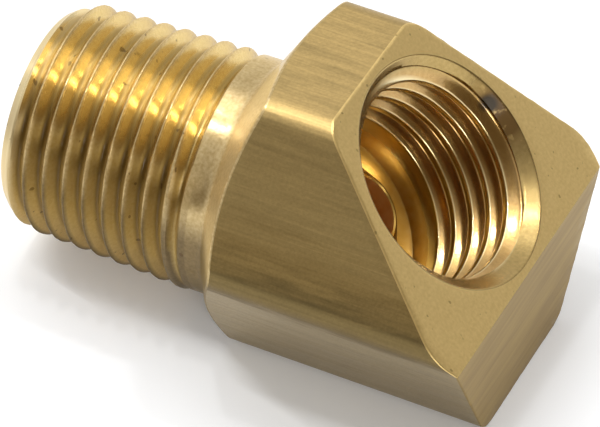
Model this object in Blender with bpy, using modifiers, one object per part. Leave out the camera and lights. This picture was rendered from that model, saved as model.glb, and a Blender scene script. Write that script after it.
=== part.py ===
"""A 45 degree brass elbow: tapered pipe thread on one end, inverted-flare port on the other.

The body is machined from hexagon bar. One end is turned down to a neck with a shoulder chamfer, and a
tapered thread is cut on it. The other end is faced off at the elbow's angle, and the port is drilled,
tapped and fitted with a pressed-in seat, square to that face.

X runs along the pipe thread, with the port end at +X. Z is up, and the bottom flat lies on Z = 0. The
origin is under the middle of the elbow's length.
"""

import math

import bmesh
import bpy

MM = 0.001

# Hexagon bar
HEX_ACROSS_FLATS = 13.494 * MM
HEX_CORNER_RADIUS = 1.2 * MM
HEX_CORNER_SEGMENTS = 4
HEX_SIDES = 6

# Tapered pipe thread, 27 threads to the inch, one in sixteen on the diameter
PIPE_THREAD_LENGTH = 8.22 * MM
PIPE_SMALL_DIAMETER = 9.985 * MM
PIPE_PITCH = 25.4 / 27 * MM
PIPE_TAPER = 1 / 16
PIPE_CREST_FLAT = 0.12 * MM
PIPE_ROOT_FLAT = 0.10 * MM
PIPE_END_CHAMFER_LENGTH = 0.8 * MM
PIPE_END_CHAMFER_DEPTH = 0.55 * MM
PIPE_START_ANGLE = math.radians(298)

# Plain neck behind the thread, the shoulder between it and the hexagon, and its step to the bottom flat
NECK_LENGTH = 1.51 * MM
NECK_RELIEF = 0.08 * MM
SHOULDER_CHAMFER = math.radians(30)
SHOULDER_FILLET = 0.5 * MM
SHOULDER_FILLET_SEGMENTS = 4
BOTTOM_LEDGE = 0.425 * MM

# Port face
ELBOW_BEND = math.radians(45)
FACE_START = 4.93 * MM
FACE_MARGIN = 0.3525 * MM

# Flare port, 24 threads to the inch
PORT_MAJOR_DIAMETER = 9.525 * MM
PORT_PITCH = 25.4 / 24 * MM
PORT_CREST_FLAT = 0.294 * MM
PORT_ROOT_FLAT = 0.132 * MM
PORT_COUNTERSINK = 0.2675 * MM
PORT_THREAD_DEPTH = 5.3 * MM
PORT_RELIEF = 1.65 * MM
PORT_START_ANGLE = math.radians(290)

# Flare seat
SEAT_HALF_ANGLE = math.radians(42)
SEAT_HEIGHT = 1.85 * MM
SEAT_HOLE_DIAMETER = 3.0 * MM
SEAT_RIM_LAND = 0.15 * MM
SEAT_BASE_EDGE = 0.2 * MM
SEAT_SHANK_DIAMETER = 5.2 * MM
SEAT_SHANK_LENGTH = 1.2 * MM
SEAT_CLEARANCE = 0.1 * MM

# Bore from the pipe end, and the chamber under the seat that it breaks into
CHAMBER_REACH = 0.66 * MM
BORE_DIAMETER = 4.4 * MM
BORE_EDGE = 0.3 * MM
BORE_BREAK = 0.4 * MM
DRILL_HALF_ANGLE = math.radians(59)

# Both threads have sixty degree flanks, and fade out over part of a turn
FLANK_ANGLE = math.radians(30)
RUN_OUT_TURNS = 0.5

# Roundness of turned faces, and how far a cutter reaches past the face that it cuts
TURN_STEPS = 32
OVERCUT = 1.0 * MM
THREAD_OVERCUT = 0.2 * MM

# Worked out from the sizes above
PIPE_SMALL_RADIUS = PIPE_SMALL_DIAMETER / 2
PIPE_LARGE_RADIUS = PIPE_SMALL_RADIUS + PIPE_THREAD_LENGTH * PIPE_TAPER / 2
PIPE_LENGTH = PIPE_THREAD_LENGTH + NECK_LENGTH
NECK_RADIUS = PIPE_LARGE_RADIUS - NECK_RELIEF
AXIS_HEIGHT = NECK_RADIUS + BOTTOM_LEDGE
PORT_MAJOR_RADIUS = PORT_MAJOR_DIAMETER / 2
PORT_THREAD_HEIGHT = (PORT_PITCH - PORT_CREST_FLAT - PORT_ROOT_FLAT) / 2 / math.tan(FLANK_ANGLE)
PORT_MINOR_RADIUS = PORT_MAJOR_RADIUS - PORT_THREAD_HEIGHT
MOUTH_RADIUS = PORT_MAJOR_RADIUS + PORT_COUNTERSINK
PORT_DEPTH = PORT_THREAD_DEPTH + PORT_RELIEF
FACE_LENGTH = 2 * (MOUTH_RADIUS + FACE_MARGIN)
TOTAL_LENGTH = PIPE_LENGTH + FACE_START + FACE_LENGTH * math.sin(ELBOW_BEND)
PIPE_END_X = -TOTAL_LENGTH / 2
FLAT_END_X = TOTAL_LENGTH / 2
FACE_TOP_X = PIPE_END_X + PIPE_LENGTH + FACE_START
PORT_X = FACE_TOP_X + FACE_LENGTH / 2 * math.sin(ELBOW_BEND)
PORT_Z = HEX_ACROSS_FLATS - FACE_LENGTH / 2 * math.cos(ELBOW_BEND)
SOCKET_RADIUS = SEAT_SHANK_DIAMETER / 2 + SEAT_CLEARANCE
SHANK_DEPTH = PORT_DEPTH + SEAT_SHANK_LENGTH
AXIS_MEETING_DEPTH = (PORT_Z - AXIS_HEIGHT) / math.sin(ELBOW_BEND)
AXIS_MEETING_X = PORT_X - AXIS_MEETING_DEPTH * math.cos(ELBOW_BEND)
CHAMBER_DEPTH = max(SHANK_DEPTH + SEAT_CLEARANCE, AXIS_MEETING_DEPTH + SOCKET_RADIUS + CHAMBER_REACH)


def clear_scene():
    """Removes every object that the file starts with."""
    for item in list(bpy.data.objects):
        bpy.data.objects.remove(item, do_unlink=True)


def new_collection(name):
    """A collection linked to the scene."""
    group = bpy.data.collections.new(name)
    bpy.context.scene.collection.children.link(group)
    return group


def metal(name, colour, roughness):
    """A plain metal with the colour and roughness of a machined surface."""
    finish = bpy.data.materials.new(name)
    finish.use_nodes = True
    shader = finish.node_tree.nodes["Principled BSDF"]
    shader.inputs["Base Color"].default_value = (*colour, 1.0)
    shader.inputs["Metallic"].default_value = 1.0
    shader.inputs["Roughness"].default_value = roughness
    return finish


def add_object(name, mesh, group):
    """Puts a mesh into a collection as a named object."""
    item = bpy.data.objects.new(name, mesh)
    group.objects.link(item)
    return item


def place_on_pipe(item):
    """Turns local Z onto the pipe axis, with local zero at the pipe end."""
    item.location = (PIPE_END_X, 0, AXIS_HEIGHT)
    item.rotation_euler = (0, math.pi / 2, 0)


def place_on_port(item):
    """Turns local Z onto the port axis, pointing out of the port, with local zero on the port face."""
    item.location = (PORT_X, 0, PORT_Z)
    item.rotation_euler = (0, math.pi / 2 - ELBOW_BEND, 0)


def turned(name, profile, closed, group):
    """A turned solid: (radius, height) points run down the outer side and are spun round Z."""
    mesh = bpy.data.meshes.new(name)
    points = [(radius, 0, height) for radius, height in profile]
    edges = [(i, i + 1) for i in range(len(points) - 1)]
    if closed:
        edges.append((len(points) - 1, 0))
    mesh.from_pydata(points, edges, [])
    item = add_object(name, mesh, group)
    spin = item.modifiers.new("Spin", "SCREW")
    spin.axis = "Z"
    spin.angle = 2 * math.pi
    spin.steps = TURN_STEPS
    spin.render_steps = TURN_STEPS
    spin.use_merge_vertices = True
    spin.merge_threshold = 0.000001
    spin.use_smooth_shade = True
    return item


def helical_cutter(name, pitch, start, length, start_angle, section, group):
    """A closed groove section carried along a right-hand helix round Z.

    The helix runs from the height start for a signed length. section(height) gives the section there as
    (offset along Z, radius) points, all round its edge.
    """
    direction = math.copysign(1, length)
    count = round(abs(length) / pitch * TURN_STEPS)
    shape = bmesh.new()
    rings = []
    for step in range(count + 1):
        turn = direction * step / TURN_STEPS
        angle = start_angle + 2 * math.pi * turn
        height = start + pitch * turn
        ring = []
        for offset, radius in section(height):
            point = (radius * math.cos(angle), radius * math.sin(angle), height + offset)
            ring.append(shape.verts.new(point))
        rings.append(ring)
    corners = len(rings[0])
    for ring, following in zip(rings, rings[1:]):
        for i in range(corners):
            j = (i + 1) % corners
            shape.faces.new((ring[i], ring[j], following[j], following[i]))
    shape.faces.new(rings[0])
    shape.faces.new(rings[-1])
    bmesh.ops.recalc_face_normals(shape, faces=shape.faces)
    mesh = bpy.data.meshes.new(name)
    shape.to_mesh(mesh)
    shape.free()
    return add_object(name, mesh, group)


def hide_cutter(item):
    """Marks an object as a cutter only."""
    item.hide_render = True
    item.display_type = "WIRE"


def cut(item, cutter, operation):
    """Adds one exact Boolean to an object."""
    step = item.modifiers.new(cutter.name, "BOOLEAN")
    step.operation = operation
    step.solver = "EXACT"
    step.object = cutter


def hexagon_bar(group):
    """The bar with its rounded corners, a flat on top and below, from past the pipe end to the flat end."""
    length = TOTAL_LENGTH + OVERCUT
    half_corner = math.pi / HEX_SIDES
    corner_reach = HEX_ACROSS_FLATS / 2 / math.cos(half_corner)
    shape = bmesh.new()
    bmesh.ops.create_cone(
        shape,
        cap_ends=True,
        segments=HEX_SIDES,
        radius1=corner_reach,
        radius2=corner_reach,
        depth=length,
    )
    corners = [edge for edge in shape.edges if abs(edge.verts[0].co.z - edge.verts[1].co.z) > length / 2]
    bmesh.ops.bevel(
        shape,
        geom=corners,
        affect="EDGES",
        offset=HEX_CORNER_RADIUS * math.tan(half_corner),
        offset_type="OFFSET",
        segments=HEX_CORNER_SEGMENTS,
        profile=0.5,
    )
    mesh = bpy.data.meshes.new("elbow_body")
    shape.to_mesh(mesh)
    shape.free()
    mesh.shade_smooth()
    mesh.set_sharp_from_angle(angle=math.radians(30))
    bar = add_object("elbow_body", mesh, group)
    bar.location = (FLAT_END_X - length / 2, 0, HEX_ACROSS_FLATS / 2)
    bar.rotation_euler = (0, math.pi / 2, 0)
    return bar


def turned_blank(group):
    """What the lathe leaves: end chamfer, tapered thread blank, neck, fillet and shoulder chamfer."""
    beyond = HEX_ACROSS_FLATS
    past_end = TOTAL_LENGTH + OVERCUT
    cone_reach = (beyond - NECK_RADIUS) * math.tan(SHOULDER_CHAMFER)
    fillet_turn = math.pi / 2 - SHOULDER_CHAMFER
    fillet_start = PIPE_LENGTH - SHOULDER_FILLET * math.tan(fillet_turn / 2)
    chamfer_radius = PIPE_SMALL_RADIUS + PIPE_END_CHAMFER_LENGTH * PIPE_TAPER / 2
    profile = [(0, past_end), (beyond, past_end), (beyond, PIPE_LENGTH + cone_reach)]
    for i in range(SHOULDER_FILLET_SEGMENTS, -1, -1):
        angle = fillet_turn * i / SHOULDER_FILLET_SEGMENTS
        radius = NECK_RADIUS + SHOULDER_FILLET * (1 - math.cos(angle))
        profile.append((radius, fillet_start + SHOULDER_FILLET * math.sin(angle)))
    profile.append((NECK_RADIUS, PIPE_THREAD_LENGTH + NECK_RELIEF))
    profile.append((PIPE_LARGE_RADIUS, PIPE_THREAD_LENGTH))
    profile.append((chamfer_radius, PIPE_END_CHAMFER_LENGTH))
    profile.append((chamfer_radius - PIPE_END_CHAMFER_DEPTH, 0))
    profile.append((0, 0))
    blank = turned("turned_blank", profile, False, group)
    place_on_pipe(blank)
    return blank


def pipe_thread_groove(group):
    """The groove between the pipe thread's crests, following the taper and rising out at its end."""
    half_width = (PIPE_PITCH - PIPE_CREST_FLAT) / 2
    half_root = PIPE_ROOT_FLAT / 2
    depth = (half_width - half_root) / math.tan(FLANK_ANGLE)
    run_out = RUN_OUT_TURNS * PIPE_PITCH

    def section(height):
        """The groove at one height, from its outer left corner round its root."""
        along = min(height, PIPE_THREAD_LENGTH)
        lift = max(0, height - PIPE_THREAD_LENGTH) / run_out * (depth + THREAD_OVERCUT)
        crest = PIPE_SMALL_RADIUS + along * PIPE_TAPER / 2 + lift
        return [
            (-half_width, crest + THREAD_OVERCUT),
            (-half_width, crest),
            (-half_root, crest - depth),
            (half_root, crest - depth),
            (half_width, crest),
            (half_width, crest + THREAD_OVERCUT),
        ]

    length = PIPE_PITCH + PIPE_THREAD_LENGTH + run_out
    groove = helical_cutter(
        "pipe_thread_groove", PIPE_PITCH, -PIPE_PITCH, length, PIPE_START_ANGLE, section, group
    )
    place_on_pipe(groove)
    return groove


def face_block(group):
    """The block that is milled away above the port face."""
    mesh = bpy.data.meshes.new("face_block")
    shape = bmesh.new()
    bmesh.ops.create_cube(shape, size=2 * TOTAL_LENGTH)
    for vertex in shape.verts:
        vertex.co.z += TOTAL_LENGTH
    shape.to_mesh(mesh)
    shape.free()
    block = add_object("face_block", mesh, group)
    place_on_port(block)
    return block


def bore(group):
    """The bore and its drill point, which breaks into the chamber under the seat."""
    radius = BORE_DIAMETER / 2
    chamber_wall_x = AXIS_MEETING_X - SOCKET_RADIUS / math.sin(ELBOW_BEND)
    point = chamber_wall_x + BORE_BREAK - PIPE_END_X
    profile = [
        (0, point),
        (radius, point - radius / math.tan(DRILL_HALF_ANGLE)),
        (radius, BORE_EDGE),
        (radius + BORE_EDGE + OVERCUT, -OVERCUT),
        (0, -OVERCUT),
    ]
    hole = turned("bore", profile, False, group)
    place_on_pipe(hole)
    return hole


def port_hole(group):
    """The drilled port: countersunk mouth, tapping hole, floor, and the socket that the seat is pressed in."""
    profile = [
        (0, OVERCUT),
        (MOUTH_RADIUS + OVERCUT, OVERCUT),
        (PORT_MINOR_RADIUS, PORT_MINOR_RADIUS - MOUTH_RADIUS),
        (PORT_MINOR_RADIUS, -PORT_DEPTH),
        (SOCKET_RADIUS, -PORT_DEPTH),
        (SOCKET_RADIUS, -CHAMBER_DEPTH),
        (0, -CHAMBER_DEPTH),
    ]
    hole = turned("port_hole", profile, False, group)
    place_on_port(hole)
    return hole


def port_thread_groove(group):
    """The groove that the tap leaves in the port's wall, running in to the thread's depth."""
    half_width = (PORT_PITCH - PORT_CREST_FLAT) / 2
    half_root = PORT_ROOT_FLAT / 2
    run_out = RUN_OUT_TURNS * PORT_PITCH

    def section(height):
        """The groove at one height, from its inner lower corner round its root."""
        drop = max(0, -height - PORT_THREAD_DEPTH) / run_out * (PORT_THREAD_HEIGHT + THREAD_OVERCUT)
        crest = PORT_MINOR_RADIUS - drop
        return [
            (-half_width, crest - THREAD_OVERCUT),
            (-half_width, crest),
            (-half_root, crest + PORT_THREAD_HEIGHT),
            (half_root, crest + PORT_THREAD_HEIGHT),
            (half_width, crest),
            (half_width, crest - THREAD_OVERCUT),
        ]

    length = -(PORT_PITCH + PORT_THREAD_DEPTH + run_out)
    groove = helical_cutter(
        "port_thread_groove", PORT_PITCH, PORT_PITCH, length, PORT_START_ANGLE, section, group
    )
    place_on_port(groove)
    return groove


def flare_seat(group):
    """The pressed-in seat: a cone with a flat rim, a through hole, and a shank in the port's floor."""
    hole = SEAT_HOLE_DIAMETER / 2
    rim = hole + SEAT_RIM_LAND
    shank = SEAT_SHANK_DIAMETER / 2
    underside = SEAT_CLEARANCE - PORT_DEPTH
    base_top = underside + SEAT_BASE_EDGE
    top = SEAT_HEIGHT - PORT_DEPTH
    base = rim + (top - base_top) * math.tan(SEAT_HALF_ANGLE)
    profile = [
        (hole, top),
        (rim, top),
        (base, base_top),
        (base, underside),
        (shank, underside),
        (shank, -SHANK_DEPTH),
        (hole, -SHANK_DEPTH),
    ]
    seat = turned("flare_seat", profile, True, group)
    place_on_port(seat)
    return seat


def build():
    """Makes the elbow body and its seat."""
    clear_scene()
    parts = new_collection("flare_fitting")
    cutters = new_collection("cutters")
    body = hexagon_bar(parts)
    blank = turned_blank(cutters)
    cut(body, blank, "INTERSECT")
    hide_cutter(blank)
    for make in (face_block, pipe_thread_groove, bore, port_hole, port_thread_groove):
        cutter = make(cutters)
        cut(body, cutter, "DIFFERENCE")
        hide_cutter(cutter)
    body.data.materials.append(metal("drawn_brass", (0.60, 0.46, 0.24), 0.32))
    seat = flare_seat(parts)
    seat.data.materials.append(metal("turned_brass", (0.62, 0.42, 0.16), 0.25))


build()
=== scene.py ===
"""The look of a 45 degree brass elbow: hexagon bar with a taper pipe thread and an inverted-flare port.

Lengths are in millimetres until a mesh or a material is made. X runs along the pipe thread with the port at
+X, and the bar's bottom flat lies on Z = 0.
"""

import bmesh
import bpy
import numpy as np
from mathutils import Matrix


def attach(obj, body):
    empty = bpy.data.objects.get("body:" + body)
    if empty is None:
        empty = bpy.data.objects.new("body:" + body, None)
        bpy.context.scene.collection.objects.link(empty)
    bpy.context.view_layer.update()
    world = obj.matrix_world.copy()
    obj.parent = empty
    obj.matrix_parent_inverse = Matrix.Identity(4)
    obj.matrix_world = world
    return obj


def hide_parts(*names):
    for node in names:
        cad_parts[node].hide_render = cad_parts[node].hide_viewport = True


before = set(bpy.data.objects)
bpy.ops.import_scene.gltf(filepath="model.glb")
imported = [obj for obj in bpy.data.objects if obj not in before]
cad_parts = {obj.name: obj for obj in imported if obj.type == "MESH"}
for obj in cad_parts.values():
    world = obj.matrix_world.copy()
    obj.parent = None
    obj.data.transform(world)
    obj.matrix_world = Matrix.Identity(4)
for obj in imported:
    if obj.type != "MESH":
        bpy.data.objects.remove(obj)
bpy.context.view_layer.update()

# Hexagon bar: drawn brass bar with rounded corners. Its pipe end is turned down to a chamfered shoulder, and
# its other end is sawn square and milled off at 45 degrees for the port.
flats = 13.494
corner = 1.2
pipe_end_x = -11.136
flat_end_x = 11.136
shoulder_x = -1.406
shoulder_angle = np.radians(30)
axis_z = 5.594
neck_radius = 5.169
face_sum = 17.018  # x + z at every point of the milled face
port_x, port_z = 7.330, 9.688
edge_break = 0.09
edge_wander = 0.006
half = np.sqrt(0.5)  # sine and cosine of the milled face's 45 degrees


def hexagon_outline(flats, corner, per_flat, per_corner):
    """Rounded hexagon round the origin, as y and z in order.

    Each corner is an arc whose outward direction turns 60 degrees about a centre on the corner's line, and a
    straight flat joins each arc's end to the next arc's start.
    """
    middle = np.radians(60 * np.arange(6))[:, None]
    outward = middle + np.radians(np.linspace(-30, 30, per_corner + 1))
    reach = (flats / 2 - corner) / np.cos(np.pi / 6)
    arc_y = reach * np.cos(middle) + corner * np.cos(outward)
    arc_z = reach * np.sin(middle) + corner * np.sin(outward)
    arc = np.stack([arc_y, arc_z])
    share = np.linspace(0, 1, per_flat + 1)[1:-1]
    start, end = arc[:, :, -1:], np.roll(arc[:, :, :1], -1, axis=1)
    return np.concatenate([arc, start + (end - start) * share], axis=2).reshape(2, -1)


def rounded_edge(edge, back, onward, size, steps=4):
    """Rows of a broken edge: edge + size * (back * (1 - u)^2 + onward * u^2) for u from 0 to 1.

    The curve leaves the first face at a distance size before the edge and meets the second face at the same
    distance after it.
    """
    u = np.linspace(0, 1, steps + 1)[:, None, None]
    return edge + size * (back * (1 - u) ** 2 + onward * u**2)


def between(first, last, rows):
    """Straight rows from one row of points to another, both ends included."""
    u = np.linspace(0, 1, rows)[:, None, None]
    return first + (last - first) * u


def ring(points):
    """Repeats the first column after the last, so that a surface closes round its axis."""
    return np.concatenate([points, points[:, :1]], axis=1)


bar_y, bar_z = hexagon_outline(flats, corner, per_flat=26, per_corner=10)
bar_z = bar_z + flats / 2

# The foot is the line where the milled face and the sawn end meet. On each side of the bar the outline's
# nearest point is moved onto it, and the outline then starts at the foot on the +Y side.
foot_z = face_sum - flat_end_x
foot_y = (flats / 2 + (foot_z - flats / 2) / 2) / np.cos(np.pi / 6)
from_foot = np.abs(bar_z - foot_z)
right_foot = np.argmin(np.where(bar_y < 0, np.inf, from_foot))
left_foot = np.argmin(np.where(bar_y > 0, np.inf, from_foot))
bar_y[[right_foot, left_foot]] = foot_y, -foot_y
bar_z[[right_foot, left_foot]] = foot_z
bar_y, bar_z = np.roll(bar_y, -right_foot), np.roll(bar_z, -right_foot)
left_foot = (left_foot - right_foot) % len(bar_y)

bar_angle = np.unwrap(np.arctan2(bar_z - axis_z, bar_y))
bar_radius = np.hypot(bar_y, bar_z - axis_z)
outward = np.stack([0 * bar_y, np.cos(bar_angle), np.sin(bar_angle)], axis=1)
along = np.array([1.0, 0.0, 0.0])

cone_x = shoulder_x + (bar_radius - neck_radius) * np.tan(shoulder_angle)
cone_edge = np.stack([cone_x, bar_y, bar_z], axis=1)
down_cone = -np.cos(shoulder_angle) * outward - np.sin(shoulder_angle) * along
cone_break = rounded_edge(cone_edge, down_cone, along, edge_break)

end_edge = np.stack([np.minimum(flat_end_x, face_sum - bar_z), bar_y, bar_z], axis=1)
on_face = np.arange(len(bar_y)) <= left_foot
aim_z = np.where(on_face, port_z, foot_z / 2)
aim = np.stack([np.where(on_face, face_sum - aim_z, flat_end_x), 0 * bar_y, aim_z], axis=1)
inward = (aim - end_edge) / np.linalg.norm(aim - end_edge, axis=1, keepdims=True)
inward[[0, left_foot]] = [[0, -1, 0], [0, 1, 0]]
end_break = rounded_edge(end_edge, -along, inward, edge_break)
chance = np.random.default_rng(seed=7)
wander = chance.normal(size=(len(end_break) - 2, len(bar_y), 1))
end_break[1:-1] += edge_wander * wander * (outward + along)

bar_skin = between(cone_break[-1], end_break[0], rows=14)

# Pipe end: the neck, the taper pipe thread and the drilled bore, all turned on the bar's low centre line.
# A die cuts the thread, whose groove runs out into the plain neck.
pipe_length = shoulder_x - pipe_end_x
pipe_pitch = 25.4 / 27
pipe_thread_length = 8.22
pipe_small_radius = 9.985 / 2
pipe_taper = 1 / 32  # on the radius, so one in sixteen across
pipe_crest_flat = 0.035
pipe_root_half = 0.09
thread_slope = np.tan(np.radians(30))  # of a flank from the groove's middle plane, in both 60 degree threads
pipe_half_width = (pipe_pitch - pipe_crest_flat) / 2
pipe_depth = (pipe_half_width - pipe_root_half) / thread_slope
pipe_run_out = pipe_pitch / 2
pipe_thread_margin = 0.25
pipe_run_out_end = pipe_thread_length + pipe_run_out + pipe_thread_margin
run_out_clear = 0.2  # how far clear of the metal a groove's root ends
pipe_start_degrees = 208  # where the groove's middle leaves the end face, from +Y towards +Z
pipe_chamfer_length = 0.8
pipe_chamfer_depth = 0.55
pipe_chamfer_blend = 0.02
pipe_root_blend = 0.14
pipe_crest_blend = 0.015
shoulder_fillet = 0.5


def soft_min(a, b, blend):
    """The smaller of two values, rounded over where they are within about blend of each other."""
    return (a + b - np.sqrt((a - b) ** 2 + blend**2)) / 2


def helix_rows(angle, lead, phase, shares, low, high):
    """Heights of rows that follow a helix, and each one's distance from the middle of its groove.

    The groove's middle climbs by lead for each turn of angle, from height phase at angle zero. Rows lie at
    the given shares of half a lead on each side of it, turn after turn, and are held within low and high.
    """
    pitch = abs(lead)
    aside = np.unique(np.concatenate([-shares[shares < 1], shares])) * pitch / 2
    middle = phase + lead * angle / (2 * np.pi)
    first_turn = np.floor((low - middle.max()) / pitch)
    last_turn = np.ceil((high - middle.min()) / pitch)
    turns = np.arange(first_turn, last_turn + 1)
    height = np.clip((turns[:, None] * pitch + aside).ravel()[:, None] + middle, low, high)
    offset = (height - middle + pitch / 2) % pitch - pitch / 2
    return height, offset


def pipe_surface(distance, offset):
    """Radius of the threaded end at a distance from its face and an offset from the groove's middle.

    It is the smaller of the turned blank (end chamfer, one-in-sixteen taper, neck) and the V groove, whose
    middle rises out of the metal over the run-out.
    """
    middle = distance - offset
    taper = pipe_small_radius + distance * pipe_taper
    chamfer = taper - pipe_chamfer_depth * (1 - distance / pipe_chamfer_length)
    neck_step = np.maximum(taper - (distance - pipe_thread_length), neck_radius)
    turned_end = soft_min(taper, chamfer, pipe_chamfer_blend)
    blank = np.where(distance > pipe_thread_length, neck_step, turned_end)
    lift = np.maximum(0, middle - pipe_thread_length) / pipe_run_out * (pipe_depth + run_out_clear)
    flank = (pipe_half_width - np.abs(offset)) / thread_slope
    groove_top = pipe_small_radius + np.minimum(middle, pipe_thread_length) * pipe_taper + lift
    groove = groove_top - soft_min(flank, pipe_depth, pipe_root_blend)
    return soft_min(blank, groove, pipe_crest_blend)


def round_pipe(distance, radius, angle):
    """Points at a distance along the pipe axis from its end face, a radius and an angle from +Y to +Z."""
    x = pipe_end_x + distance + 0 * angle
    return np.stack([x, radius * np.cos(angle), axis_z + radius * np.sin(angle)], axis=-1)


fillet_sweep = np.pi / 2 - shoulder_angle
fillet_rows = 7
fillet_turn = np.linspace(fillet_sweep, 0, fillet_rows)[:, None]
fillet_start = pipe_length - shoulder_fillet * np.tan(fillet_sweep / 2)
fillet = round_pipe(
    fillet_start + shoulder_fillet * np.sin(fillet_turn),
    neck_radius + shoulder_fillet * (1 - np.cos(fillet_turn)),
    bar_angle,
)
shoulder = between(cone_break[0], fillet[0], rows=7)

pipe_angle = np.append(bar_angle, bar_angle[0] + 2 * np.pi)
pipe_shares = np.array([0, 0.08, 0.2, 0.4, 0.6, 0.8, 0.9, 0.935, 0.965, 1])
pipe_phase = -pipe_pitch * pipe_start_degrees / 360
distance, offset = helix_rows(pipe_angle, pipe_pitch, pipe_phase, pipe_shares, 0, pipe_run_out_end)

# Handling has nicked the crests: every turn's crest has its own row of dents, each two columns long, and only
# those above zero are cut.
shallow_dent, deep_dent = -0.015, 0.03
dent_turns = 40
crest_from = 0.46  # share of the pitch from the groove's middle, where the crest starts
first_nick = 0.6
crest_turn = (distance - offset) / pipe_pitch - pipe_angle / (2 * np.pi) - (offset < 0)
crest_turn = np.round(crest_turn).astype(int) % dent_turns
dents = chance.uniform(shallow_dent, deep_dent, (dent_turns, len(pipe_angle) // 2 + 1))
dents = np.repeat(dents, 2, axis=1)[crest_turn, np.arange(len(pipe_angle))]
on_crest = np.clip((np.abs(offset) / pipe_pitch - crest_from) / (0.5 - crest_from), 0, 1)
nick = on_crest * np.maximum(dents, 0) * ((distance > first_nick) & (distance < pipe_thread_length))
nick[:, [0, -1]] = 0
pipe_thread = round_pipe(distance, pipe_surface(distance, offset) - nick, pipe_angle)
neck = between(fillet[-1], pipe_thread[-1, :-1], rows=5)

# Radius and distance from the end face: the bore's broken edge, its wall and its drill point.
bore_profile = np.array([[2.5, 0], [2.2, 0.3], [2.2, 5], [2.2, 8.9], [1.1, 9.56], [0, 10.22]])
bore = round_pipe(bore_profile[:, 1:], bore_profile[:, :1], bar_angle)
pipe_face = between(pipe_thread[0, :-1], bore[0], rows=4)

# Port face and sawn end: the milled slope that the port is square to, and the flat end below it. They meet
# along a straight foot across the bar.
mouth_radius = 5.03
mouth_edge_break = 0.05
foot_line = between(end_break[-1, left_foot : left_foot + 1], end_break[-1, :1], rows=74)[1:-1, 0]
face_rim = np.concatenate([end_break[-1, : left_foot + 1], foot_line])
port_angle = np.unwrap(np.arctan2((face_rim[:, 2] - port_z) / half, face_rim[:, 1]))


def round_port(depth, radius, angle):
    """Points at a depth under the port face, a radius and an angle from +Y up the face's slope."""
    across, up = radius * np.cos(angle), radius * np.sin(angle)
    depth = depth + 0 * angle
    return np.stack([port_x - half * (up + depth), across + 0 * depth, port_z + half * (up - depth)], axis=-1)


port_up = half * np.sin(port_angle)
port_outward = np.stack([-port_up, np.cos(port_angle), port_up], axis=1)
port_inside = -half * np.array([1.0, 0.0, 1.0])
mouth_edge = round_port(0.0, mouth_radius, port_angle)
down_countersink = half * (port_inside - port_outward)
mouth_break = rounded_edge(mouth_edge, port_outward, down_countersink, mouth_edge_break, steps=3)
port_face = between(face_rim, mouth_break[0], rows=7)

end_rim = np.concatenate([end_break[-1, left_foot:], end_break[-1, :1], foot_line[::-1]])
end_middle = np.array([flat_end_x, 0, foot_z / 2])
flat_end = between(end_rim, end_middle + 0 * end_rim, rows=6)

# Port: drilled, countersunk and tapped for the tube nut, with a plain relief below the thread, a flat floor
# and a socket in the floor for the seat.
port_pitch = 25.4 / 24
port_major_radius = 9.525 / 2
port_crest_flat = 0.294
port_root_half = 0.066
port_half_width = (port_pitch - port_crest_flat) / 2
port_height = (port_half_width - port_root_half) / thread_slope
port_minor_radius = port_major_radius - port_height
port_thread_depth = 5.3
port_run_out = port_pitch / 2
port_thread_margin = 0.7
port_run_out_end = port_thread_depth + port_thread_margin
port_start_degrees = 200  # where the groove's middle leaves the port face, from +Y up the slope
port_depth = 6.95
port_root_blend = 0.06
port_crest_blend = 0.035
countersink_blend = 0.015


def port_surface(depth, offset):
    """Radius of the port's wall at a depth and an offset from the groove's middle.

    It is the largest of the countersink, the tapping hole and the V groove, whose middle sinks back into the
    hole's wall over the run-out. The larger of two values is the smaller of their negatives, made negative.
    """
    middle = depth - offset
    drop = np.maximum(0, middle - port_thread_depth) / port_run_out * (port_height + run_out_clear)
    flank = (port_half_width - np.abs(offset)) / thread_slope
    groove = port_minor_radius + soft_min(flank, port_height, port_root_blend) - drop
    wall = -soft_min(-port_minor_radius, -groove, port_crest_blend)
    return -soft_min(-wall, depth - mouth_radius, countersink_blend)


port_turn = np.append(port_angle, port_angle[0] + 2 * np.pi)
port_shares = np.array([0, 0.1, 0.2, 0.36, 0.52, 0.63, 0.69, 0.74, 0.82, 1])
port_phase = port_pitch * port_start_degrees / 360
port_top = half * mouth_edge_break
depth, offset = helix_rows(port_turn, -port_pitch, port_phase, port_shares, port_top, port_run_out_end)
port_thread = round_port(depth, port_surface(depth, offset), port_turn)

# Radius and depth under the port face: the relief's wall, its rounded foot, the floor and the seat's socket.
well_profile = np.array(
    [[4.215, 6.2], [4.215, 6.85], [4.18, 6.92], [4.1, port_depth], [3.4, port_depth], [2.75, port_depth]]
    + [[2.7, 7.0], [2.7, 9.15], [0, 9.15]]
)
well = round_port(well_profile[:, 1:], well_profile[:, :1], port_angle)
port_well = np.concatenate([port_thread[-1:, :-1], well])

# Elbow: bar, pipe end and port are one machined piece of brass, so their surfaces are joined into one mesh.
# Each surface keeps the finish of the tool that cut it.
mm = 0.001
weld_gap = 0.002
sliver_width = 0.0005
sharp_angle = np.radians(38)


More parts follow.
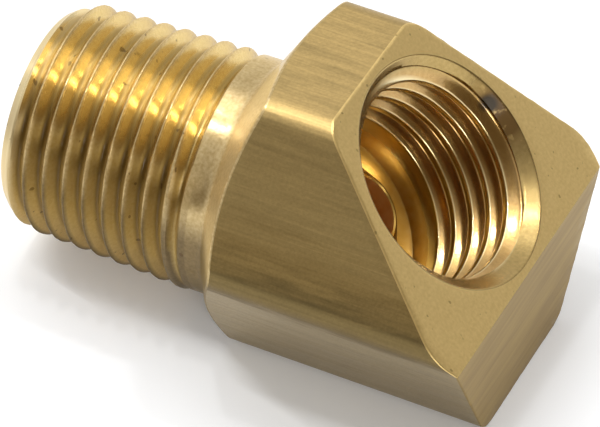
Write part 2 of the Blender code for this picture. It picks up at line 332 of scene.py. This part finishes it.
def add_surface(name, patches):
    """One closed mesh from grids of points in millimetres, each with its finish's number.

    Every grid's neighbouring rows and columns are joined by four-sided faces. Points that fall together are
    then made one, which closes seams and poles and drops faces that have no area.
    """
    points = np.concatenate([grid.reshape(-1, 3) for grid, finish in patches]) * mm
    faces, finishes, first = [], [], 0
    for grid, finish in patches:
        number = first + np.arange(grid.shape[0] * grid.shape[1]).reshape(grid.shape[:2])
        quads = np.stack([number[:-1, :-1], number[:-1, 1:], number[1:, 1:], number[1:, :-1]], axis=-1)
        faces.append(quads.reshape(-1, 4))
        finishes.append(np.full(len(faces[-1]), finish))
        first += number.size
    mesh = bpy.data.meshes.new(name)
    mesh.from_pydata(points, [], np.concatenate(faces))
    mesh.polygons.foreach_set("material_index", np.concatenate(finishes).astype(np.int32))
    work = bmesh.new()
    work.from_mesh(mesh)
    bmesh.ops.remove_doubles(work, verts=work.verts, dist=mm * weld_gap)
    bmesh.ops.dissolve_degenerate(work, edges=work.edges, dist=mm * sliver_width)
    bmesh.ops.recalc_face_normals(work, faces=work.faces)
    work.to_mesh(mesh)
    work.free()
    mesh.shade_smooth()
    mesh.set_sharp_from_angle(angle=sharp_angle)
    piece = bpy.data.objects.new(name, mesh)
    bpy.context.scene.collection.objects.link(piece)
    return piece


drawn, milled, sawn, turned, threaded, tapped, bored = range(7)
elbow = add_surface(
    "brass_elbow",
    [
        (ring(bar_skin), drawn),
        (end_break[:, : left_foot + 1], milled),
        (ring(end_break)[:, left_foot:], sawn),
        (ring(np.concatenate([cone_break[::-1], shoulder[1:], fillet[1:], neck[1:]])), turned),
        (pipe_thread, threaded),
        (ring(np.concatenate([pipe_face, bore[1:]])), turned),
        (ring(port_face), milled),
        (ring(flat_end), sawn),
        (ring(mouth_break), tapped),
        (port_thread, tapped),
        (ring(port_well), bored),
    ],
)

# How deep each point lies in a thread's groove, from 0 on a crest to 1 at the root, for the painted shade and
# the roughness in there. The margins keep the edges of the pipe's end and of the port's mouth out of it.
end_margin = 0.3
port_margin = 0.02
vertex_places = np.zeros(len(elbow.data.vertices) * 3)
elbow.data.vertices.foreach_get("co", vertex_places)
vertex_x, vertex_y, vertex_z = vertex_places.reshape(-1, 3).T / mm
from_end = vertex_x - pipe_end_x
taper_radius = pipe_small_radius + from_end * pipe_taper
blank_radius = np.where(from_end > pipe_thread_length, neck_radius, taper_radius)
pipe_groove = (blank_radius - np.hypot(vertex_y, vertex_z - axis_z)) / pipe_depth
pipe_groove *= (from_end > end_margin) & (from_end < pipe_run_out_end)
up_slope = (vertex_z - port_z - (vertex_x - port_x)) * half
under_face = (face_sum - vertex_x - vertex_z) * half
from_port_axis = np.hypot(vertex_y, up_slope)
port_groove = (from_port_axis - np.maximum(port_minor_radius, mouth_radius - under_face)) / port_height
port_groove *= (under_face > port_margin) & (under_face < port_depth)
port_groove *= from_port_axis < port_major_radius + port_margin
groove_share = np.clip(np.maximum(pipe_groove, port_groove), 0, 1).astype(np.float32)
elbow.data.attributes.new("groove", "FLOAT", "POINT").data.foreach_set("value", groove_share)


def linear(colour):
    """An sRGB hex colour as linear red, green, blue and alpha."""
    value = np.array([int(colour[i : i + 2], 16) for i in (1, 3, 5)]) / 255
    return (*np.where(value < 0.04045, value / 12.92, ((value + 0.055) / 1.055) ** 2.4), 1.0)


def set_inputs(item, *ordered, **named):
    """Sets a node's inputs to values, or links them to the outputs of other nodes.

    The ordered ones go to the inputs in use, from the first on. The named ones go by Blender's names, with _
    for a space.
    """
    used = [socket for socket in item.inputs if socket.enabled]
    by_name = {socket.name.replace(" ", "_"): socket for socket in reversed(used)}
    for socket, value in [*zip(used, ordered), *((by_name[name], named[name]) for name in named)]:
        if isinstance(value, bpy.types.NodeSocket):
            item.id_data.links.new(value, socket)
        else:
            socket.default_value = value


def add_node(owner, kind, settings=(), *ordered, out=None, **named):
    """Adds a node to a material or world with its settings and inputs, and returns one of its outputs.

    That is the output named by out, or else the first one that the settings leave in use.
    """
    item = owner.node_tree.nodes.new(kind)
    for key, value in dict(settings).items():
        setattr(item, key, value)
    set_inputs(item, *ordered, **named)
    return item.outputs[out] if out else next(socket for socket in item.outputs if socket.enabled)


def brass(name):
    """A bare metal, its shader and its places in metres, ready for the nodes of one finish.

    Cutting oil that was left on it is a thin glossy coat, which a finish may add.
    """
    material = bpy.data.materials.new(name)
    material.use_nodes = True
    shader = material.node_tree.nodes["Principled BSDF"]
    set_inputs(shader, Metallic=1.0, Coat_Roughness=0.12)
    return material, shader, add_node(material, "ShaderNodeTexCoord", out="Object")


# Drawn brass bar: pulled through a die, so fine scratches and dull streaks run along its length. The
# scratches are really about 0.03 mm wide, and are drawn at about 0.1 mm so that they show. Shade is painted
# into the colour by height: the two side corners are painted dark, the flats below them greyer, and the top
# flat lighter than the flats beside it.
drawn_brass, shader, place = brass("drawn_brass")
scratch_size = np.array([20 / 3, 1 / 8, 1 / 8])  # length along the bar, then width
scuff_size = np.array([4, 1 / 1.8, 1 / 1.8])
grain_width = 1 / 9  # really about 0.03, coarser so that it shows
shade_low, shade_high = 5, 15  # heights that the painted shade is spread over
shade_wander = 0.5
scratch_depth, grain_depth = 0.03, 0.02
noise_span = {"From_Min": 0.3, "From_Max": 0.7}  # what nearly all of a noise lies within
plus = {"operation": "ADD"}
times = {"operation": "MULTIPLY"}
stretch = add_node(drawn_brass, "ShaderNodeMapping", Vector=place, Scale=1 / (mm * scratch_size))
streak = add_node(drawn_brass, "ShaderNodeTexNoise", Vector=stretch, Scale=1.0, Detail=4.0, Roughness=0.6)
stretch = add_node(drawn_brass, "ShaderNodeMapping", Vector=place, Scale=1 / (mm * scuff_size))
scuff = add_node(drawn_brass, "ShaderNodeTexNoise", Vector=stretch, Scale=1.0, Detail=5.0, Roughness=0.65)
grain = add_node(drawn_brass, "ShaderNodeTexNoise", Vector=place, Scale=1 / (mm * grain_width), Detail=2.0)
height = add_node(drawn_brass, "ShaderNodeSeparateXYZ", out="Z", Vector=place)
wander_span = {**noise_span, "To_Min": -mm * shade_wander, "To_Max": mm * shade_wander}
uneven = add_node(drawn_brass, "ShaderNodeMapRange", Value=scuff, **wander_span)
height = add_node(drawn_brass, "ShaderNodeMath", plus, height, uneven)
shade_span = {"From_Min": mm * shade_low, "From_Max": mm * shade_high}
level = add_node(drawn_brass, "ShaderNodeMapRange", Value=height, **shade_span)
# Painted shade: darker colours at the two side corners and on the flats below them, lighter on the top flat.
height_shade = add_node(drawn_brass, "ShaderNodeValToRGB", Fac=level)
shade_stops = height_shade.node.color_ramp.elements
shade_stops[0].color, shade_stops[1].color = linear("#a69574"), linear("#c1a56c")
for stop, shade in (
    (0.07, "#a69574"),
    (0.135, "#7d6b45"),
    (0.21, "#7d6b45"),
    (0.31, "#a58b57"),
    (0.5, "#ae9561"),
    (0.81, "#ae9561"),
    (0.86, "#c1a56c"),
):
    shade_stops.new(stop).color = linear(shade)
tone = add_node(drawn_brass, "ShaderNodeMapRange", Value=streak, **noise_span, To_Min=0.86, To_Max=1.05)
speckle = add_node(drawn_brass, "ShaderNodeMapRange", Value=grain, **noise_span, To_Min=0.92, To_Max=1.08)
worn_span = {"From_Min": 0.57, "From_Max": 0.72, "To_Min": 1.0, "To_Max": 0.85}
worn = add_node(drawn_brass, "ShaderNodeMapRange", Value=scuff, **worn_span)
tone = add_node(drawn_brass, "ShaderNodeMath", times, tone, speckle)
tone = add_node(drawn_brass, "ShaderNodeMath", times, tone, worn)
colour = add_node(drawn_brass, "ShaderNodeVectorMath", {"operation": "SCALE"}, height_shade, Scale=tone)
rough = add_node(drawn_brass, "ShaderNodeMapRange", Value=scuff, **noise_span, To_Min=0.38, To_Max=0.48)
bump = add_node(drawn_brass, "ShaderNodeBump", Strength=0.3, Distance=mm * scratch_depth, Height=streak)
bump = add_node(
    drawn_brass, "ShaderNodeBump", Strength=0.2, Distance=mm * grain_depth, Height=grain, Normal=bump
)
set_inputs(shader, Base_Color=colour, Roughness=rough, Normal=bump)

# Milled brass: faced with an end mill, so the slope is a smooth satin with a fine even grain and a few dark
# specks. The grain is really about 0.03 mm, and is drawn at about 0.14 mm so that it shows.
milled_brass, shader, place = brass("milled_brass")
grain_width = 1 / 7
speck_spacing = 1 / 4.2
colours = {"data_type": "RGBA"}
grain = add_node(milled_brass, "ShaderNodeTexNoise", Vector=place, Scale=1 / (mm * grain_width), Detail=3.0)
tone = add_node(milled_brass, "ShaderNodeMapRange", Value=grain, **noise_span)
clean = add_node(
    milled_brass, "ShaderNodeMix", colours, Factor=tone, A=linear("#dfc07d"), B=linear("#eacc89")
)
spots = add_node(milled_brass, "ShaderNodeTexNoise", Vector=place, Scale=1 / (mm * speck_spacing), Detail=0.0)
speck = add_node(milled_brass, "ShaderNodeMapRange", Value=spots, From_Min=0.79, From_Max=0.83, To_Max=0.7)
colour = add_node(milled_brass, "ShaderNodeMix", colours, Factor=speck, A=clean, B=linear("#a3874f"))
bump = add_node(milled_brass, "ShaderNodeBump", Strength=0.2, Distance=mm * grain_depth, Height=grain)
set_inputs(shader, Base_Color=colour, Roughness=0.36, Normal=bump)

# Sawn brass: the bar's parted end, duller and browner than the milled slope, with the saw's fine marks
# straight across it, about 0.25 mm apart and 5 mm long.
sawn_brass, shader, place = brass("sawn_brass")
mark_size = np.array([1 / 4, 5, 1 / 4])
mark_depth = 0.03
stretch = add_node(sawn_brass, "ShaderNodeMapping", Vector=place, Scale=1 / (mm * mark_size))
mark = add_node(sawn_brass, "ShaderNodeTexNoise", Vector=stretch, Scale=1.0, Detail=4.0)
tone = add_node(sawn_brass, "ShaderNodeMapRange", Value=mark, **noise_span)
colour = add_node(
    sawn_brass, "ShaderNodeMix", colours, Factor=tone, A=linear("#917848"), B=linear("#a48b53")
)
bump = add_node(sawn_brass, "ShaderNodeBump", Strength=0.15, Distance=mm * mark_depth, Height=mark)
set_inputs(shader, Base_Color=colour, Roughness=0.46, Normal=bump)

# Turned brass: the lathe tool's fine lines run round the axis, so a lamp shows as a streak that is crisp
# round the axis and spread along it. The shine pales towards the outline, and the lower half is painted
# darker and browner as painted shade. The grain is drawn as coarse as the milled one.
turned_brass, shader, place = brass("turned_brass")
shade_top, shade_full = 7.8, 5.8  # heights that the painted shade sets in over
low_shade_span = {"From_Min": mm * shade_top, "From_Max": mm * shade_full}
smooth = {"interpolation_type": "SMOOTHSTEP"}
satin_dark, satin_light = linear("#cbae74"), linear("#e4cb96")
shaded_dark, shaded_light = linear("#776440"), linear("#8a7550")
outline_tint = linear("#ece0c4")
grain = add_node(turned_brass, "ShaderNodeTexNoise", Vector=place, Scale=1 / (mm * grain_width), Detail=3.0)
tone = add_node(turned_brass, "ShaderNodeMapRange", Value=grain, **noise_span)
clean = add_node(turned_brass, "ShaderNodeMix", colours, Factor=tone, A=satin_dark, B=satin_light)
shaded = add_node(turned_brass, "ShaderNodeMix", colours, Factor=tone, A=shaded_dark, B=shaded_light)
height = add_node(turned_brass, "ShaderNodeSeparateXYZ", out="Z", Vector=place)
# Painted shade: lower down the colour turns to the darker, browner shaded colours.
low_share = add_node(turned_brass, "ShaderNodeMapRange", smooth, Value=height, **low_shade_span)
colour = add_node(turned_brass, "ShaderNodeMix", colours, Factor=low_share, A=clean, B=shaded)
bump = add_node(turned_brass, "ShaderNodeBump", Strength=0.25, Distance=mm * grain_depth, Height=grain)
axis_way = add_node(turned_brass, "ShaderNodeCombineXYZ", X=1.0)
set_inputs(shader, Base_Color=colour, Roughness=0.36, Specular_Tint=outline_tint, Coat_Weight=0.4)
set_inputs(shader, Anisotropic=0.96, Tangent=axis_way, Normal=bump)

# Threaded brass: cut by a die. The crests keep the lathe's satin, the flanks are bright, and the roots are
# dull and painted darker as painted shade. The end chamfer is clean. Lower down the grooves are duller and
# painted darker, and the crests browner, as painted shade, with a few dark specks of swarf.
threaded_brass, shader, place = brass("threaded_brass")
speck_spacing = 1 / 3
crest_shade_x, crest_shade_full_x = -10.5, -10.2
chamfer_x, past_chamfer_x = -10.8, -10.4
shade_band_low, shade_band_high = 3, 10  # heights that the painted shade band is spread over
dull_top, dull_full = 9.5, 7.8  # heights that the lower roughness sets in over
times_plus = {"operation": "MULTIPLY_ADD"}
depth_share = add_node(threaded_brass, "ShaderNodeAttribute", {"attribute_name": "groove"}, out="Fac")
grain = add_node(threaded_brass, "ShaderNodeTexNoise", Vector=place, Scale=1 / (mm * grain_width), Detail=3.0)
tone = add_node(threaded_brass, "ShaderNodeMapRange", Value=grain, **noise_span)
satin = add_node(threaded_brass, "ShaderNodeMix", colours, Factor=tone, A=satin_dark, B=satin_light)
shaded = add_node(threaded_brass, "ShaderNodeMix", colours, Factor=tone, A=shaded_dark, B=shaded_light)
height = add_node(threaded_brass, "ShaderNodeSeparateXYZ", out="Z", Vector=place)
length = height.node.outputs["X"]
low_share = add_node(threaded_brass, "ShaderNodeMapRange", smooth, Value=height, **low_shade_span)
crest_shade_span = {"From_Min": mm * crest_shade_x, "From_Max": mm * crest_shade_full_x}
past_end = add_node(threaded_brass, "ShaderNodeMapRange", Value=length, **crest_shade_span)
low_share = add_node(threaded_brass, "ShaderNodeMath", times, low_share, past_end)
# Painted shade: past the end chamfer the crests turn browner lower down.
crest = add_node(threaded_brass, "ShaderNodeMix", colours, Factor=low_share, A=satin, B=shaded)
flank = add_node(
    threaded_brass, "ShaderNodeMix", colours, Factor=tone, A=linear("#dec17c"), B=linear("#ead192")
)
root_share = add_node(threaded_brass, "ShaderNodeMapRange", Value=depth_share, From_Min=0.7, From_Max=0.95)
# Painted shade: the roots are painted darker than the flanks.
cut = add_node(threaded_brass, "ShaderNodeMix", colours, Factor=root_share, A=flank, B=linear("#c4a762"))
shade_band_span = {"From_Min": mm * shade_band_low, "From_Max": mm * shade_band_high}
# Painted shade: a darker band across the middle heights of the thread's grooves.
level = add_node(threaded_brass, "ShaderNodeMapRange", Value=height, **shade_band_span)
shade_band = add_node(threaded_brass, "ShaderNodeValToRGB", Fac=level)
shade_band_stops = shade_band.node.color_ramp.elements
shade_band_stops[0].color, shade_band_stops[1].color = linear("#f9f6ee"), linear("#ffffff")
for stop, shade in (
    (0.34, "#cac2ac"),
    (0.46, "#bcb19a"),
    (0.6, "#b8ac92"),
    (0.73, "#bdb196"),
    (0.88, "#f0ebe2"),
):
    shade_band_stops.new(stop).color = linear(shade)
cut = add_node(threaded_brass, "ShaderNodeVectorMath", times, cut, shade_band)
flank_share = add_node(threaded_brass, "ShaderNodeMapRange", Value=depth_share, From_Min=0.03, From_Max=0.3)
clean = add_node(threaded_brass, "ShaderNodeMix", colours, Factor=flank_share, A=crest, B=cut)
chamfer_span = {"From_Min": mm * chamfer_x, "From_Max": mm * past_chamfer_x}
past_chamfer = add_node(threaded_brass, "ShaderNodeMapRange", Value=length, **chamfer_span)
clean = add_node(threaded_brass, "ShaderNodeMix", colours, Factor=past_chamfer, A=linear("#ead5a4"), B=clean)
spots = add_node(
    threaded_brass, "ShaderNodeTexNoise", Vector=place, Scale=1 / (mm * speck_spacing), Detail=0.0
)
speck = add_node(threaded_brass, "ShaderNodeMapRange", Value=spots, From_Min=0.8, From_Max=0.83, To_Max=0.6)
colour = add_node(threaded_brass, "ShaderNodeMix", colours, Factor=speck, A=clean, B=linear("#5c3f1c"))
flank_gloss = {"From_Min": 0.03, "From_Max": 0.4, "To_Min": 0.3, "To_Max": 0.21}
rough = add_node(threaded_brass, "ShaderNodeMapRange", Value=depth_share, **flank_gloss)
dull_span = {"From_Min": mm * dull_top, "From_Max": mm * dull_full, "To_Max": 0.22}
low_roughness = add_node(threaded_brass, "ShaderNodeMapRange", smooth, Value=height, **dull_span)
rough = add_node(threaded_brass, "ShaderNodeMath", plus, rough, low_roughness)
rough = add_node(threaded_brass, "ShaderNodeMath", times_plus, root_share, 0.28, rough)
bump = add_node(threaded_brass, "ShaderNodeBump", Strength=0.04, Distance=mm * grain_depth, Height=grain)
axis_way = add_node(threaded_brass, "ShaderNodeCombineXYZ", X=1.0)
set_inputs(shader, Base_Color=colour, Roughness=rough, Specular_Tint=outline_tint, Coat_Weight=0.4)
set_inputs(shader, Anisotropic=0.92, Tangent=axis_way, Normal=bump)

# Tapped brass: cut by a tap, which leaves the whole wall wet with oil. Its flanks are painted browner than
# its crests, as painted shade in the groove.
# The countersink round the mouth is a nearly dry satin. On one side the tap dragged and tore it, which
# leaves a rough brown streak with one dark spot.
tapped_brass, shader, place = brass("tapped_brass")
grain_width = 1 / 6  # really about 0.03, coarser so that it shows
drag_width = 1 / 2.6
rim_end, rim_full = 0.7, 0.5  # depths that the rim's finish gives way over
scuff_place, scuff_reach, scuff_core = np.array([7.45, 4.7, 9.2]), 1.9, 0.9
tear_place, tear_reach, tear_core = np.array([6.91, 4.64, 9.61]), 0.5, 0.3
apart = {"operation": "DISTANCE"}
dot = {"operation": "DOT_PRODUCT"}
larger = {"operation": "MAXIMUM"}
depth_share = add_node(tapped_brass, "ShaderNodeAttribute", {"attribute_name": "groove"}, out="Fac")
grain = add_node(tapped_brass, "ShaderNodeTexNoise", Vector=place, Scale=1 / (mm * grain_width), Detail=3.0)
tone = add_node(tapped_brass, "ShaderNodeMapRange", Value=grain, **noise_span)
flank_share = add_node(tapped_brass, "ShaderNodeMapRange", Value=depth_share, From_Min=0.02, From_Max=0.15)
flank = add_node(
    tapped_brass, "ShaderNodeMix", colours, Factor=tone, A=linear("#c39a56"), B=linear("#d0aa66")
)
# Painted shade: the flanks in the groove are painted browner than the crests.
wall = add_node(tapped_brass, "ShaderNodeMix", colours, Factor=flank_share, A=linear("#f0dca6"), B=flank)
inward_way = add_node(tapped_brass, "ShaderNodeVectorMath", dot, place, port_inside)
face_way = -mm * half * face_sum
rim_span = {"From_Min": face_way + mm * rim_end, "From_Max": face_way + mm * rim_full}
rim_share = add_node(tapped_brass, "ShaderNodeMapRange", Value=inward_way, **rim_span)
rim = add_node(tapped_brass, "ShaderNodeMix", colours, Factor=tone, A=linear("#ae945c"), B=linear("#bda269"))
drag = add_node(tapped_brass, "ShaderNodeTexNoise", Vector=place, Scale=1 / (mm * drag_width), Detail=4.0)
drag = add_node(tapped_brass, "ShaderNodeMapRange", Value=drag, From_Min=0.28, From_Max=0.44)
from_scuff = add_node(tapped_brass, "ShaderNodeVectorMath", apart, place, mm * scuff_place)
scuff_span = {"From_Min": mm * scuff_reach, "From_Max": mm * scuff_core}
near = add_node(tapped_brass, "ShaderNodeMapRange", Value=from_scuff, **scuff_span)
scuff = add_node(tapped_brass, "ShaderNodeMath", times, drag, near)
rim = add_node(tapped_brass, "ShaderNodeMix", colours, Factor=scuff, A=rim, B=linear("#6a5230"))
clean = add_node(tapped_brass, "ShaderNodeMix", colours, Factor=rim_share, A=wall, B=rim)
from_tear = add_node(tapped_brass, "ShaderNodeVectorMath", apart, place, mm * tear_place)
tear_span = {"From_Min": mm * tear_reach, "From_Max": mm * tear_core}
tear = add_node(tapped_brass, "ShaderNodeMapRange", Value=from_tear, **tear_span)
colour = add_node(tapped_brass, "ShaderNodeMix", colours, Factor=tear, A=clean, B=linear("#453b2c"))
oil = add_node(tapped_brass, "ShaderNodeMapRange", Value=rim_share, To_Min=1.0, To_Max=0.1)
rough = add_node(tapped_brass, "ShaderNodeMapRange", Value=rim_share, To_Min=0.22, To_Max=0.26)
torn = add_node(tapped_brass, "ShaderNodeMath", larger, scuff, tear)
torn = add_node(tapped_brass, "ShaderNodeMath", times, torn, rim_share)
rough = add_node(tapped_brass, "ShaderNodeMath", times_plus, torn, 0.3, rough)
bump = add_node(tapped_brass, "ShaderNodeBump", Strength=0.15, Distance=mm * grain_depth, Height=grain)
set_inputs(shader, Base_Color=colour, Roughness=rough, Coat_Weight=oil, Normal=bump)

# Bored brass: the port's plain relief, floor and socket, cut clean and bright by the drill, with a soft
# mottle of oil about 0.4 mm wide.
bored_brass, shader, place = brass("bored_brass")
mottle_width = 0.4
grain = add_node(bored_brass, "ShaderNodeTexNoise", Vector=place, Scale=1 / (mm * mottle_width), Detail=4.0)
tone = add_node(bored_brass, "ShaderNodeMapRange", Value=grain, **noise_span)
colour = add_node(
    bored_brass, "ShaderNodeMix", colours, Factor=tone, A=linear("#efc873"), B=linear("#f6d68c")
)
bump = add_node(bored_brass, "ShaderNodeBump", Strength=0.1, Distance=mm * grain_depth, Height=grain)
set_inputs(shader, Base_Color=colour, Roughness=0.34, Coat_Weight=0.6, Normal=bump)

cut_finishes = (milled_brass, sawn_brass, turned_brass, threaded_brass, tapped_brass, bored_brass)
for finish in (drawn_brass, *cut_finishes):
    elbow.data.materials.append(finish)
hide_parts("elbow_body")
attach(elbow, "root")

# Flare seat: a small turned brass cone with a hole through it, pressed into the socket in the port's floor.
# The tube's flare closes on the cone.
seat_sides = 96
seat_angle = np.linspace(0, 2 * np.pi, seat_sides, endpoint=False)

# Radius and depth under the port face: the hole and its rounded lip, then the cone, the flange and the shank.
hole_profile = [[1.50, 8.15], [1.50, 5.30], [1.52, 5.15]]
cone_profile = [[1.58, 5.10], [1.64, 5.11], [1.72, 5.18], [2.35, 5.875], [2.98, 6.57], [3.04, 6.66]]
flange_profile = [[3.045, 6.72], [3.03, 6.85], [2.60, 6.85], [2.60, 8.15], [1.50, 8.15]]
seat_profile = np.array(hole_profile + cone_profile + flange_profile)
seat_rows = ring(round_port(seat_profile[:, 1:], seat_profile[:, :1], seat_angle))
hole_rows = len(hole_profile)
pressed, reamed = range(2)
seat = add_surface(
    "flare_seat_cone", [(seat_rows[:hole_rows], reamed), (seat_rows[hole_rows - 1 :], pressed)]
)

# Pressed brass: turned, then browned by oil in the well, a plain satin with the same soft mottle.
pressed_brass, shader, place = brass("pressed_brass")
grain = add_node(pressed_brass, "ShaderNodeTexNoise", Vector=place, Scale=1 / (mm * mottle_width), Detail=4.0)
tone = add_node(pressed_brass, "ShaderNodeMapRange", Value=grain, **noise_span)
colour = add_node(
    pressed_brass, "ShaderNodeMix", colours, Factor=tone, A=linear("#b8944a"), B=linear("#c6a357")
)
set_inputs(shader, Base_Color=colour, Roughness=0.3)

# Reamed brass: the seat's hole, a very dull satin, painted bright and warm as painted light for the glow
# through the bore.
reamed_brass, shader, place = brass("reamed_brass")
grain = add_node(reamed_brass, "ShaderNodeTexNoise", Vector=place, Scale=1 / (mm * mottle_width), Detail=4.0)
tone = add_node(reamed_brass, "ShaderNodeMapRange", Value=grain, **noise_span)
colour = add_node(
    reamed_brass, "ShaderNodeMix", colours, Factor=tone, A=linear("#f6c070"), B=linear("#ffd48c")
)
set_inputs(shader, Base_Color=colour, Roughness=0.6)

for finish in (pressed_brass, reamed_brass):
    seat.data.materials.append(finish)
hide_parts("flare_seat")
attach(seat, "root")

# Floor: a wide sheet of matt white card under the bar's bottom flat. It glows a little for the camera and in
# reflections, so that it stays pale and still keeps the fitting's shadow.
floor_reach = 3
floor_rows = 9
floor_side = np.linspace(-floor_reach, floor_reach, floor_rows)
floor_x, floor_y = np.meshgrid(floor_side, floor_side, indexing="ij")
floor_points = np.stack([floor_x, floor_y, 0 * floor_x], axis=-1).reshape(-1, 3)
corners = np.arange(floor_rows**2).reshape(floor_rows, floor_rows)
floor_faces = np.stack([corners[:-1, :-1], corners[1:, :-1], corners[1:, 1:], corners[:-1, 1:]], axis=-1)
floor_mesh = bpy.data.meshes.new("floor")
floor_mesh.from_pydata(floor_points, [], floor_faces.reshape(-1, 4))
floor = bpy.data.objects.new("floor", floor_mesh)
bpy.context.scene.collection.objects.link(floor)

card_glow = 0.11
white_card = bpy.data.materials.new("white_card")
white_card.use_nodes = True
ray = add_node(white_card, "ShaderNodeLightPath").node.outputs
seen = add_node(white_card, "ShaderNodeMath", larger, ray["Is Camera Ray"], ray["Is Glossy Ray"])
seen = add_node(white_card, "ShaderNodeMath", larger, seen, ray["Is Transmission Ray"])
glow = add_node(white_card, "ShaderNodeMath", times, seen, card_glow)
card_shader = white_card.node_tree.nodes["Principled BSDF"]
set_inputs(card_shader, Base_Color=linear("#f3f5f8"), Roughness=0.9, Specular_IOR_Level=0.0)
set_inputs(card_shader, Emission_Color=linear("#ffffff"), Emission_Strength=glow)
floor_mesh.materials.append(white_card)

# Studio: a long strip lamp overhead draws the bright lines along the bar and the thread, and a softbox lights
# the top. Small lamps above the port, above its rim and low in front of it light the port. The room is pale
# behind and overhead, and dim and brown in front.
for name, lamp_place, lamp_turn, size, watts in (
    ("strip", (-0.75, -0.175, 1.425), (0, 0, -15), (1.3, 0.016), 8.5),
    ("softbox", (-0.2, 0.42, 1.43), (0, 0, 0), (1.8, 0.8), 4.3),
    ("port_lamp", (0.37, 0.4, 1.42), (0, 0, 0), (0.12, 0.08), 2.4),
    ("port_fill", (1.0, -1.03, 0.44), (73, 0, 44), (0.4, 0.4), 4.5),
    ("rim_lamp", (-0.25, 0.09, 1.42), (0, 0, 0), (0.1, 0.1), 1.5),
):
    lamp = bpy.data.objects.new(name, bpy.data.lights.new(name, "AREA"))
    lamp.data.shape = "RECTANGLE"
    lamp.data.size, lamp.data.size_y = size
    lamp.data.energy = watts
    lamp.location = lamp_place
    lamp.rotation_euler = np.radians(lamp_turn)
    bpy.context.scene.collection.objects.link(lamp)

rear_way = (-0.6, 0.8, -0.25)
overhead_way = (-0.35, -0.25, 0.903)
overhead_span = {"From_Min": 0.45, "From_Max": 1.0, "To_Max": 0.6}
room = bpy.data.worlds.new("studio")
room.use_nodes = True
direction = add_node(room, "ShaderNodeTexCoord", out="Generated")
rearward = add_node(room, "ShaderNodeVectorMath", dot, direction, rear_way)
pale = add_node(room, "ShaderNodeMapRange", Value=rearward, From_Min=-0.65, From_Max=0.85)
overhead = add_node(room, "ShaderNodeVectorMath", dot, direction, overhead_way)
ceiling = add_node(room, "ShaderNodeMapRange", smooth, Value=overhead, **overhead_span)
pale = add_node(room, "ShaderNodeMath", {**plus, "use_clamp": True}, pale, ceiling)
room_walls = add_node(
    room, "ShaderNodeMix", colours, Factor=pale, A=linear("#635642"), B=linear("#f9f9f9")
)
set_inputs(room.node_tree.nodes["Background"], Color=room_walls)
bpy.context.scene.world = room

# Camera: a long lens well above the fitting and towards its port end, at the photograph's viewing angle. Its
# place is set for a frame of 600 by 427 pixels.
camera = bpy.data.objects.new("camera", bpy.data.cameras.new("camera"))
camera.data.lens = 300
camera.data.sensor_width = 36
camera.data.clip_start = 0.01
camera.data.clip_end = 10
camera.location = (0.064678, -0.142523, 0.143861)
camera.rotation_euler = np.radians([48.27378, -1.70443, 25.70846])
bpy.context.scene.collection.objects.link(camera)
bpy.context.scene.camera = camera
bpy.context.scene.view_settings.view_transform = "Standard"
